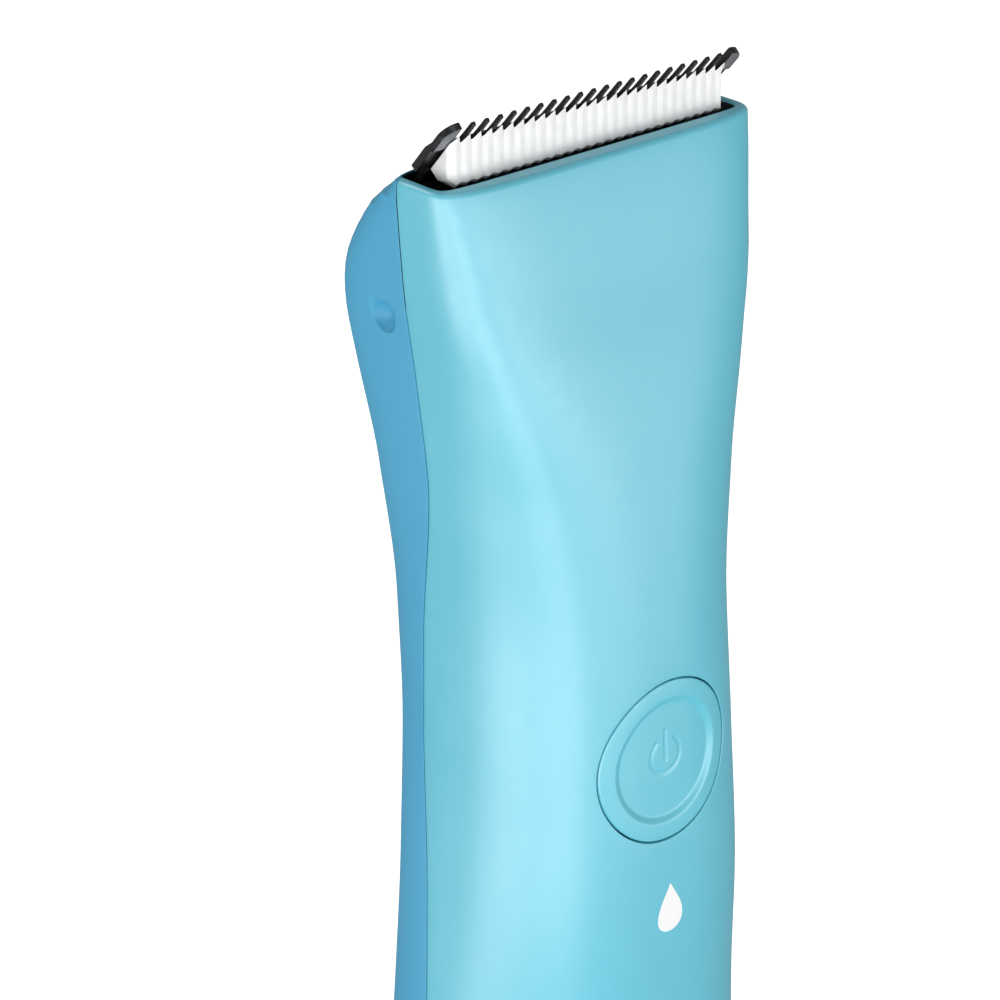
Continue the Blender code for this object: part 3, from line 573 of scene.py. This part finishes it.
def circuit_board(name):
    """Green solder mask over copper tracks, with the tracks standing a little proud."""
    n = Nodes(name)
    tracks = n.tree.nodes.new("ShaderNodeTexBrick")
    tracks.inputs["Scale"].default_value = 260.0
    tracks.inputs["Mortar Size"].default_value = 0.09
    tracks.inputs["Color1"].default_value = (0.010, 0.120, 0.045, 1.0)
    tracks.inputs["Color2"].default_value = (0.016, 0.170, 0.062, 1.0)
    tracks.inputs["Mortar"].default_value = (0.060, 0.330, 0.120, 1.0)
    turn = n.tree.nodes.new("ShaderNodeMapping")
    turn.inputs["Rotation"].default_value = (math.pi / 2, 0.0, 0.0)
    n.link(n.place, turn.inputs["Vector"])
    n.link(turn.outputs["Vector"], tracks.inputs["Vector"])
    colour = n.blend(n.spread(n.noise(350.0), 0.0, 0.35), tracks.outputs["Color"], (0.008, 0.090, 0.035))
    gloss = n.spread(n.noise(1200.0), 0.22, 0.38)
    return n.finish(colour, gloss, n.bump(tracks.outputs["Fac"], 0.4, 0.00003))


def battery_wrap(name):
    """Shrink wrap with plain bands, glossy and slightly wrinkled."""
    n = Nodes(name)
    height = n.tree.nodes.new("ShaderNodeSeparateXYZ")
    n.link(n.place, height.inputs["Vector"])
    band = n.spread(height.outputs["Z"], 0.0, 1.0, 0.0665, 0.0668)
    colour = n.blend(band, (0.030, 0.085, 0.360), (0.55, 0.57, 0.60))
    wrinkle = n.noise(1.0, 3.0, 0.5, n.scaled((220.0, 220.0, 60.0)))
    gloss = n.spread(n.noise(700.0), 0.2, 0.34)
    return n.finish(colour, gloss, n.bump(wrinkle, 0.4, 0.00006))


def make_looks():
    """One look for each material slot of the record, and three for details made here."""
    plastic = moulded_plastic
    return {
        "front_shell": satin("soft_blue_plastic", (0.092, 0.446, 0.562), (0.082, 0.430, 0.550), 0.40),
        "rear_shell": plastic("rear_blue_plastic", (0.058, 0.320, 0.505), (0.051, 0.305, 0.490), 0.55),
        "button": satin("button_blue_plastic", (0.098, 0.466, 0.580), (0.088, 0.450, 0.568), 0.38),
        "comb_steel": coated_steel("black_coated_steel"),
        "ground_edge": plated_steel("ground_steel_edge", (0.40, 0.40, 0.42), (0.30, 0.30, 0.32), 0.42),
        # painted shade: near-black for the inner walls of the blade bay, which are the shell's blue plastic
        # lying in shadow
        "painted_bay_shade": plastic("painted_bay_shade_black", (0.014, 0.016, 0.018), (0.009, 0.010, 0.012), 0.6),
        "ceramic": ground_ceramic("ground_white_ceramic"),
        "black_plastic": plastic("black_moulded_plastic", (0.030, 0.030, 0.032), (0.018, 0.018, 0.020), 0.5),
        "grey_plastic": plastic("grey_moulded_plastic", (0.34, 0.34, 0.35), (0.28, 0.28, 0.29), 0.5),
        "white_plastic": plastic("white_moulded_plastic", (0.80, 0.80, 0.78), (0.72, 0.72, 0.70), 0.4),
        "steel": plated_steel("plated_steel"),
        "nickel": plated_steel("rolled_nickel", (0.72, 0.69, 0.62), (0.58, 0.55, 0.49), 0.32),
        "rubber": soft_rubber("dark_rubber"),
        "circuit_board": circuit_board("green_circuit_board"),
        "battery_wrap": battery_wrap("blue_battery_wrap"),
        "red_lead": plastic("red_insulation", (0.55, 0.025, 0.022), (0.42, 0.018, 0.016), 0.45),
        "black_lead": plastic("black_insulation", (0.024, 0.024, 0.026), (0.014, 0.014, 0.015), 0.45),
        "print": plastic("white_print", (0.80, 0.80, 0.80), (0.75, 0.75, 0.75), 0.45),
    }


def dress_carried_nodes(frame, looks):
    """Gives every CAD node the procedural look of its record slot."""
    for row in frame["record"]["subparts"]:
        node = frame["nodes"][row["node"]]
        look = looks[row["material_slot"]]
        node.data.materials.clear()
        node.data.materials.append(look)


# ---------------------------------------------------------------- casing pieces
def shell_levels():
    """(height, inset) of the casing's rings, close together in the rounded base and rim."""
    levels = []
    for k in range(ROUNDING_STEPS):
        turn = math.pi / 2 * k / ROUNDING_STEPS
        levels.append((BASE_ROUNDING * (1 - math.cos(turn)), BASE_ROUNDING * (1 - math.sin(turn))))
    count = round((RIM_Z - RIM_ROUNDING - BASE_ROUNDING) / LEVEL_STEP)
    for k in range(count + 1):
        levels.append((BASE_ROUNDING + (RIM_Z - RIM_ROUNDING - BASE_ROUNDING) * k / count, 0.0))
    for k in range(1, ROUNDING_STEPS + 1):
        turn = math.pi / 2 * k / ROUNDING_STEPS
        levels.append((RIM_Z - RIM_ROUNDING * (1 - math.sin(turn)), RIM_ROUNDING * (1 - math.cos(turn))))
    return levels


def cavity():
    """The hollow inside both shells, flared where it meets the rim."""
    straight = RIM_Z - MOUTH_ROUNDING
    levels = [(FLOOR_Z + (straight - FLOOR_Z) * k / CAVITY_LEVELS, 0.0) for k in range(CAVITY_LEVELS + 1)]
    for k in range(1, ROUNDING_STEPS + 1):
        turn = math.pi / 2 * k / ROUNDING_STEPS
        levels.append((straight + MOUTH_ROUNDING * math.sin(turn), MOUTH_ROUNDING * (1 - math.cos(turn))))
    rings = []
    for height, flare in levels:
        ring = closed_ring(cavity_section(height, flare), CAVITY_POINTS)
        rings.append([(x, y, height) for x, y in ring])
    rings.append([(x, y, RIM_Z + 2.0) for x, y, z in rings[-1]])
    return loft("cavity_tool", rings)


def button_hole():
    """A tool for the button's hole, whose lip follows the curved front."""
    rings = []
    steps = [(HOLE_ROUNDING, -1.0)]
    for k in range(ROUNDING_STEPS + 1):
        turn = math.pi / 2 * k / ROUNDING_STEPS
        steps.append((HOLE_ROUNDING * (1 - math.sin(turn)), HOLE_ROUNDING * (1 - math.cos(turn))))
    for grow, depth in steps:
        radius = BUTTON_HOLE_RADIUS + grow
        rings.append([(x, front_surface_y(x, BUTTON_Z + z) + depth, BUTTON_Z + z)
                      for x, z in circle(radius, 2 * BUTTON_SIDES // 3)])
    rings.append([(x, -9.0, BUTTON_Z + z) for x, z in circle(BUTTON_HOLE_RADIUS, 2 * BUTTON_SIDES // 3)])
    return loft("button_hole_tool", rings)


def rounded_slot(half_a, half_b, middle, steps=16):
    """A slot's outline: a rectangle whose ends are half circles."""
    places = []
    for side in (1, -1):
        for k in range(steps + 1):
            turn = -math.pi / 2 + math.pi * k / steps
            places.append((
                middle[0] + side * (half_a - half_b) + side * half_b * math.cos(turn),
                middle[1] + side * half_b * math.sin(turn),
            ))
    return places


def port_slot():
    """A tool for the charging port's slot in the base, with a softened lip."""
    rings = []
    for grow, level in ((0.5, -1.0), (0.5, -0.01), (0.25, 0.06), (0.08, 0.2), (0.0, 0.4), (0.0, 4.0)):
        shape = rounded_slot(PORT_HALF_X + grow, PORT_HALF_Y + grow, (0.0, PORT_Y))
        rings.append([(x, y, level) for x, y in shape])
    return loft("port_slot_tool", rings)


def paint_bay_shade(shell, dark):
    """Paints the inner walls of the blade bay, under the mouth, near-black as painted shade; these walls are
    the shell's own blue plastic.
    """
    shell.data.materials.append(dark)
    for face in shell.data.polygons:
        x, y, z = face.center / MM
        half, front, back, square = body_section(z, SHELL_WALL / 3)
        middle, depth = (front + back) / 2, (back - front) / 2
        inside = abs(x / half) ** square + abs((y - middle) / depth) ** square < 1.0
        if inside and PAINTED_SHADE_LOW < z < RIM_Z - MOUTH_ROUNDING / 2:
            face.material_index = 1
    return shell


def front_casing(look, dark):
    """The front shell with the button's hole and the port's slot."""
    shell = loft("front_casing", [half_ring(z, -1, inset) for z, inset in shell_levels()], look)
    tools = (cavity(), button_hole(), port_slot())
    for tool in tools:
        carve(shell, tool)
    return paint_bay_shade(settle(shell, *tools), dark)


def dimple(side):
    """A tool for a round finger dimple with a softened lip, in the side of the rear casing."""
    wall = body_section(DIMPLE_Z)[0]
    reach = math.sqrt(DIMPLE_SPHERE**2 - DIMPLE_OUTSET**2)
    edge_angle = math.atan2(DIMPLE_OUTSET, reach)
    profile = [(0.05, DIMPLE_OUTSET - DIMPLE_SPHERE)]
    for k in range(1, 13):
        turn = -math.pi / 2 + (math.pi / 2 - edge_angle - 0.1) * k / 12
        profile.append((DIMPLE_SPHERE * math.cos(turn), DIMPLE_OUTSET + DIMPLE_SPHERE * math.sin(turn)))
    profile.append((reach + DIMPLE_LIP * 0.15, -0.05))
    profile.append((reach + DIMPLE_LIP, 0.02))
    profile.append((reach + DIMPLE_LIP + 0.5, 0.3))
    rings = []
    for radius, out in profile:
        rings.append([(side * (wall + out), a, b) for a, b in circle(radius, 64, (DIMPLE_Y, DIMPLE_Z))])
    return loft(f"dimple_tool_{side}", rings)


def rear_casing(look, dark):
    """The rear shell with its four screw posts and two side dimples."""
    shell = loft("rear_casing", [half_ring(z, 1, inset) for z, inset in shell_levels()], look)
    posts, pilots = [], []
    for side in (-1, 1):
        for height in POST_HEIGHTS:
            ends = (POST_FRONT, back_surface_y(POST_X + POST_RADIUS, height) - 0.6)
            middle = (side * POST_X, height)
            posts.append(turned("post", [(POST_RADIUS, y) for y in ends], middle=middle, axis="y", sides=32))
            bore = [(PILOT_RADIUS, POST_FRONT - 1.0), (PILOT_RADIUS, POST_FRONT + PILOT_DEPTH)]
            pilots.append(turned("pilot", bore, middle=middle, axis="y", sides=24))
    hollow = cavity()
    post_tool = joined("post_tool", posts)
    pilot_tool = joined("pilot_tool", pilots + [dimple(-1), dimple(1)])
    carve(shell, hollow)
    carve(shell, post_tool, "UNION")
    carve(shell, pilot_tool)
    return paint_bay_shade(settle(shell, hollow, post_tool, pilot_tool), dark)


# ---------------------------------------------------------------- button and mark
def symbol_cover(x, z):
    """1 on the strokes of the power symbol, 0 off them, and smooth at their edges."""
    z = z - SYMBOL_Z
    half = SYMBOL_STROKE / 2
    gap_x, gap_z = SYMBOL_RADIUS * math.sin(SYMBOL_GAP), SYMBOL_RADIUS * math.cos(SYMBOL_GAP)
    gap_ends = ((-gap_x, gap_z), (gap_x, gap_z))
    angle = abs(math.atan2(x, z))
    if angle > SYMBOL_GAP:
        to_arc = abs(math.hypot(x, z) - SYMBOL_RADIUS)
    else:
        to_arc = min(math.dist((x, z), end) for end in gap_ends)
    to_bar = math.hypot(x, z - min(max(z, SYMBOL_BAR[0]), SYMBOL_BAR[1]))
    return 1 - ease(half - SYMBOL_BLUR, half + SYMBOL_BLUR, min(to_arc, to_bar))


def button_face_point(x, z, depth):
    """A point of the cap at this depth behind the curved front, with x and z from the cap's middle."""
    return x, front_surface_y(x, BUTTON_Z + z) + depth, BUTTON_Z + z


def button_radii():
    """(radius, share of the dish's depth) of the rings of the cap's face, from the middle outwards."""
    radii = [(DISH_FOOT_RADIUS * k / DISH_RINGS, 1.0) for k in range(1, DISH_RINGS + 1)]
    for k in range(1, DISH_WALL_RINGS + 1):
        share = k / DISH_WALL_RINGS
        radius = DISH_FOOT_RADIUS + (DISH_RADIUS - DISH_FOOT_RADIUS) * share
        radii.append((radius, 1 - ease(0.0, 1.0, share)))
    for share in (0.33, 0.66, 1.0):
        radii.append((DISH_RADIUS + (BUTTON_RADIUS - BUTTON_EDGE - DISH_RADIUS) * share, 0.0))
    return radii


def power_button(look):
    """The cap: rounded outer edge, flat ring, sloping wall, and a dish with the power symbol sunk in it."""
    rings = []
    for radius, sunk in button_radii():
        ring = []
        for x, z in circle(radius, BUTTON_SIDES):
            depth = FACE_DEPTH + (DISH_DEPTH - FACE_DEPTH) * sunk
            depth += SYMBOL_DEPTH * symbol_cover(x, z) * sunk
            ring.append(button_face_point(x, z, depth))
        rings.append(ring)
    for k in range(1, ROUNDING_STEPS + 1):
        turn = math.pi / 2 * k / ROUNDING_STEPS
        radius = BUTTON_RADIUS - BUTTON_EDGE + BUTTON_EDGE * math.sin(turn)
        depth = FACE_DEPTH + BUTTON_EDGE * (1 - math.cos(turn))
        rings.append([button_face_point(x, z, depth) for x, z in circle(radius, BUTTON_SIDES)])
    behind = (
        (BUTTON_RADIUS, BUTTON_BACK),
        (BUTTON_STUB_RADIUS, BUTTON_BACK),
        (BUTTON_STUB_RADIUS, BUTTON_STUB_END),
    )
    for radius, y in behind:
        rings.append([(x, y, BUTTON_Z + z) for x, z in circle(radius, BUTTON_SIDES)])
    points = [p for ring in rings for p in ring]
    faces = ring_faces(len(rings), BUTTON_SIDES)
    centre = len(points)
    points.append(button_face_point(0.0, 0.0, DISH_DEPTH + SYMBOL_DEPTH * symbol_cover(0.0, 0.0)))
    faces += [(centre, (k + 1) % BUTTON_SIDES, k) for k in range(BUTTON_SIDES)]
    last = (len(rings) - 1) * BUTTON_SIDES
    faces.append(tuple(range(last, last + BUTTON_SIDES)))
    return solid("button_cap", points, faces, look, 40.0)


def print_mark(look):
    """A plain white water drop printed below the button, as a skin that follows the front."""
    sides, count = 72, 14
    layers = [(MARK_SUNK, 1.0)] + [(-MARK_LIFT, 1.0 - 0.97 * k / count) for k in range(count + 1)]
    rings = []
    for level, share in layers:
        ring = []
        for k in range(sides):
            turn = 2 * math.pi * k / sides
            wide = MARK_HALF_WIDTH * math.sin(turn) * math.sin(turn / 2) ** MARK_POINT * MARK_FULLNESS
            tall = MARK_HEIGHT / 2 * math.cos(turn)
            x, z = share * wide, MARK_Z + share * tall
            ring.append((x, front_surface_y(x, z) + level, z))
        rings.append(ring)
    return loft("water_drop_mark", rings, look)


# ---------------------------------------------------------------- blade cassette
def lean(points):
    """Cassette coordinates (x, towards the back, up the comb) turned into the frame of the handle."""
    c, s = math.cos(COMB_LEAN), math.sin(COMB_LEAN)
    return [(x, TIP_Y + c * y - s * z, TIP_Z + s * y + c * z) for x, y, z in points]


def comb_section(top, front, back, foot, bevel=0.0):
    """The comb's section across X as (towards the back, up the comb): thin teeth above a thicker plate."""
    front, back = front + bevel, back - bevel
    return [
        (COMB_FRONT, foot),
        (COMB_FRONT, STEP_LOW),
        (front, min(STEP_HIGH, top - 0.3)),
        (front, top - 0.07),
        (front + 0.05, top - 0.01),
        (back - 0.06, top + 0.04),
        (back, top - 0.04),
        (back, min(TOOTH_THIN_LOW, top - 0.1)),
        (COMB_BACK, PLATE_THICK_HIGH),
        (COMB_BACK, foot),
    ]


def comb_ring(x, section, taper=0.0):
    """One ring of the comb. taper moves the points near the tip along X towards the tooth's middle."""
    ring = []
    for y, z in section:
        share = min(max((z - TOOTH_ROOT) / -TOOTH_ROOT, 0.0), 1.0)
        ring.append((x + taper * share, y, z))
    return ring


def guard_rings(side):
    """The flat end of the comb beside the teeth, with a round outer corner."""
    root = comb_section(TOOTH_ROOT, COMB_FRONT, TOOTH_BACK, COMB_FOOT_SIDE)
    rings = [comb_ring(side * (GUARD_INNER - 2 * FLANK), root)]
    edge = comb_section(-TOOTH_BEVEL, TOOTH_FRONT, GUARD_BACK, GUARD_FOOT, TOOTH_BEVEL)
    rings.append(comb_ring(side * GUARD_INNER, edge))
    corner_start = COMB_HALF_WIDTH - GUARD_CORNER
    xs = [GUARD_INNER + TOOTH_BEVEL]
    xs += [corner_start + GUARD_CORNER * math.sin(math.pi / 2 * k / 8) for k in range(8)]
    xs.append(COMB_HALF_WIDTH - TOOTH_BEVEL)
    for x in xs:
        top = -corner_drop(COMB_HALF_WIDTH - x, GUARD_CORNER)
        rings.append(comb_ring(side * x, comb_section(top, TOOTH_FRONT, GUARD_BACK, GUARD_FOOT)))
    end = comb_section(-GUARD_CORNER, TOOTH_FRONT, GUARD_BACK, GUARD_FOOT, TOOTH_BEVEL)
    rings.append(comb_ring(side * COMB_HALF_WIDTH, end))
    return rings if side > 0 else rings[::-1]


def bare_guard_faces(blade, bare):
    """The ground front faces of both guards have no black coat."""
    blade.data.materials.append(bare)
    c, s = math.cos(COMB_LEAN), math.sin(COMB_LEAN)
    outwards = Vector((0.0, -c, -s))
    for face in blade.data.polygons:
        x, y, z = face.center / MM
        up_comb = c * (z - TIP_Z) - s * (y - TIP_Y)
        if abs(x) > GUARD_INNER and up_comb > GUARD_FACE_LOW and face.normal.dot(outwards) > 0.95:
            face.material_index = 1
    return blade


def comb(look, bare):
    """The leaning comb: a flat plate, bevelled square-tipped teeth, and a guard at each end."""
    root = comb_section(TOOTH_ROOT, COMB_FRONT, TOOTH_BACK, COMB_FOOT)
    edge = comb_section(-TOOTH_BEVEL, TOOTH_FRONT, TOOTH_BACK, COMB_FOOT, TOOTH_BEVEL)
    face = comb_section(0.0, TOOTH_FRONT, TOOTH_BACK, COMB_FOOT)
    rings = guard_rings(-1)
    first = -TOOTH_PITCH * (TOOTH_COUNT - 1) / 2
    tip_taper = TOOTH_ROOT_HALF - TOOTH_TIP_HALF
    for k in range(TOOTH_COUNT):
        middle = first + TOOTH_PITCH * k
        for side in (-1, 1):
            steps = [
                comb_ring(middle + side * (TOOTH_ROOT_HALF + FLANK), root),
                comb_ring(middle + side * TOOTH_ROOT_HALF, edge, -side * tip_taper),
                comb_ring(middle + side * (TOOTH_ROOT_HALF - TOOTH_BEVEL), face, -side * tip_taper),
            ]
            rings += steps if side < 0 else steps[::-1]
    rings += guard_rings(1)
    blade = loft("comb_plate", [lean(ring) for ring in rings], look, 24.0)
    holes = []
    for side in (-1, 1):
        edge_circle = circle(COMB_HOLE_RADIUS, 32, (side * COMB_SCREW_X, COMB_SCREW_Z))
        bore = [[(x, y, z) for x, z in edge_circle] for y in (-1.0, 1.5)]
        holes.append(loft("comb_hole", [lean(ring) for ring in bore]))
    tool = joined("comb_hole_tool", holes)
    carve(blade, tool)
    settle(blade, tool)
    finish_mesh(blade, 24.0)
    return bare_guard_faces(blade, bare)


def cutter_section(crest):
    """The cutter's section, from a valley (0) to the crest of a tooth (1)."""
    valley_points = ((CUTTER_BACK - 0.1, -2.15), (-1.3, -2.75), (-3.14, -4.86), (-3.14, CUTTER_LIP),
                     (-2.5, CUTTER_FOOT), (CUTTER_BACK, CUTTER_FOOT))
    crest_points = ((CUTTER_BACK, -1.25), (-0.95, -2.35), (-3.3, -4.92), (-3.3, CUTTER_LIP),
                    (-2.5, CUTTER_FOOT), (CUTTER_BACK, CUTTER_FOOT))
    return [
        (low[0] + (high[0] - low[0]) * crest, low[1] + (high[1] - low[1]) * crest)
        for low, high in zip(valley_points, crest_points)
    ]


def cutter_ring(x, crest, chamfer=0.0):
    """One ring of the cutter. The chamfer draws its front back."""
    ring = []
    for y, z in cutter_section(crest):
        ring.append((x, min(y + chamfer, CUTTER_BACK) if y < CUTTER_BACK else y, z))
    return ring


def cutter(look):
    """The white saw-edged wedge, with a rounded crest on every tooth and a chamfer at both ends."""
    rings = []
    half = CUTTER_PITCH * CUTTER_TEETH / 2
    rings.append(cutter_ring(-half, 0.0, CUTTER_CHAMFER))
    for k in range(CUTTER_TEETH):
        start = -half + CUTTER_PITCH * k
        for share, crest in CUTTER_STEPS:
            in_end_chamfer = (k == 0 and share < 0.4) or (k == CUTTER_TEETH - 1 and share > 0.6)
            if not in_end_chamfer:
                rings.append(cutter_ring(start + CUTTER_PITCH * share, crest))
    rings.append(cutter_ring(half, 0.0, CUTTER_CHAMFER))
    return loft("saw_edged_cutter", [lean(ring) for ring in rings], look, 22.0)


# ---------------------------------------------------------------- floor, lights, camera
def floor():
    """A plain near-white floor. It glows a little and blocks no light, so it looks even."""
    bpy.ops.mesh.primitive_circle_add(
        vertices=96, radius=FLOOR_RADIUS, fill_type="NGON", location=(0.0, 0.0, FLOOR_LEVEL))
    obj = bpy.context.object
    obj.name = "studio_floor"
    n = Nodes("pale_floor")
    colour = n.blend(n.spread(n.noise(3.0), 0.0, 1.0), (0.90, 0.90, 0.90), (0.92, 0.92, 0.92))
    n.shader.inputs["Emission Color"].default_value = (1.0, 1.0, 1.0, 1.0)
    n.shader.inputs["Emission Strength"].default_value = FLOOR_GLOW
    obj.data.materials.append(n.finish(colour, None, None, Roughness=0.9, Specular_IOR_Level=0.0))
    obj.visible_diffuse = False
    obj.visible_glossy = False
    obj.visible_shadow = False


def softbox(name, azimuth, elevation, distance, width, height, power):
    """A soft light at this azimuth left of the front, aimed at the middle of the head."""
    a, e = math.radians(azimuth), math.radians(elevation)
    away = Vector((-math.sin(a) * math.cos(e), -math.cos(a) * math.cos(e), math.sin(e)))
    lamp = bpy.data.lights.new(name, "AREA")
    lamp.shape = "RECTANGLE"
    lamp.size, lamp.size_y = width, height
    lamp.energy = power
    obj = bpy.data.objects.new(name, lamp)
    obj.location = Vector(LIGHT_TARGET) + away * distance
    obj.rotation_euler = (-away).to_track_quat("-Z", "Y").to_euler()
    bpy.context.scene.collection.objects.link(obj)


def studio():
    for light in LIGHTS:
        softbox(*light)
    world = bpy.data.worlds.new("studio_world")
    world.use_nodes = True
    back = world.node_tree.nodes["Background"]
    back.inputs["Color"].default_value = (1.0, 1.0, 1.0, 1.0)
    back.inputs["Strength"].default_value = WORLD_STRENGTH
    bpy.context.scene.world = world
    bpy.context.scene.view_settings.view_transform = "Standard"


def camera():
    data = bpy.data.cameras.new("camera")
    data.lens = CAMERA_LENS
    data.sensor_width = SENSOR
    data.clip_start = 0.01
    data.clip_end = 50.0
    obj = bpy.data.objects.new("camera", data)
    obj.location = Vector(CAMERA_PLACE) * MM
    obj.rotation_euler = (math.pi / 2 - CAMERA_DOWN, 0.0, -CAMERA_AZIMUTH)
    bpy.context.scene.collection.objects.link(obj)
    bpy.context.scene.camera = obj


# ---------------------------------------------------------------- the whole
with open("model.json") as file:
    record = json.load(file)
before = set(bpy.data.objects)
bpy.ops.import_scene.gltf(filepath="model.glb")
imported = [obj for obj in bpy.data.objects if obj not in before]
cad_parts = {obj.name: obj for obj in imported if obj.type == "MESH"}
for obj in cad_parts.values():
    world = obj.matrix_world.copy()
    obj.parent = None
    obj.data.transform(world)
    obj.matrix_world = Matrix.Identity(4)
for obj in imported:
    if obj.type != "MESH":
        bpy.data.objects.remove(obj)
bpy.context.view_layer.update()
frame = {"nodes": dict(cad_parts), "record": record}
looks = make_looks()
dress_carried_nodes(frame, looks)

for made, body, slot, nodes in (
    (front_casing(looks["front_shell"], looks["painted_bay_shade"]), "handle", "front_shell", ("front_shell",)),
    (rear_casing(looks["rear_shell"], looks["painted_bay_shade"]), "handle", "rear_shell", ("rear_shell",)),
    (print_mark(looks["print"]), "handle", "white_plastic", ()),
    (power_button(looks["button"]), "button", "button", ("power_button",)),
    (comb(looks["comb_steel"], looks["ground_edge"]), "cassette", "comb_steel", ("comb_blade",)),
    (cutter(looks["ceramic"]), "cutter", "ceramic", ("ceramic_cutter",)),
):
    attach(made, body)
    if nodes:
        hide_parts(*nodes)

floor()
studio()
camera()
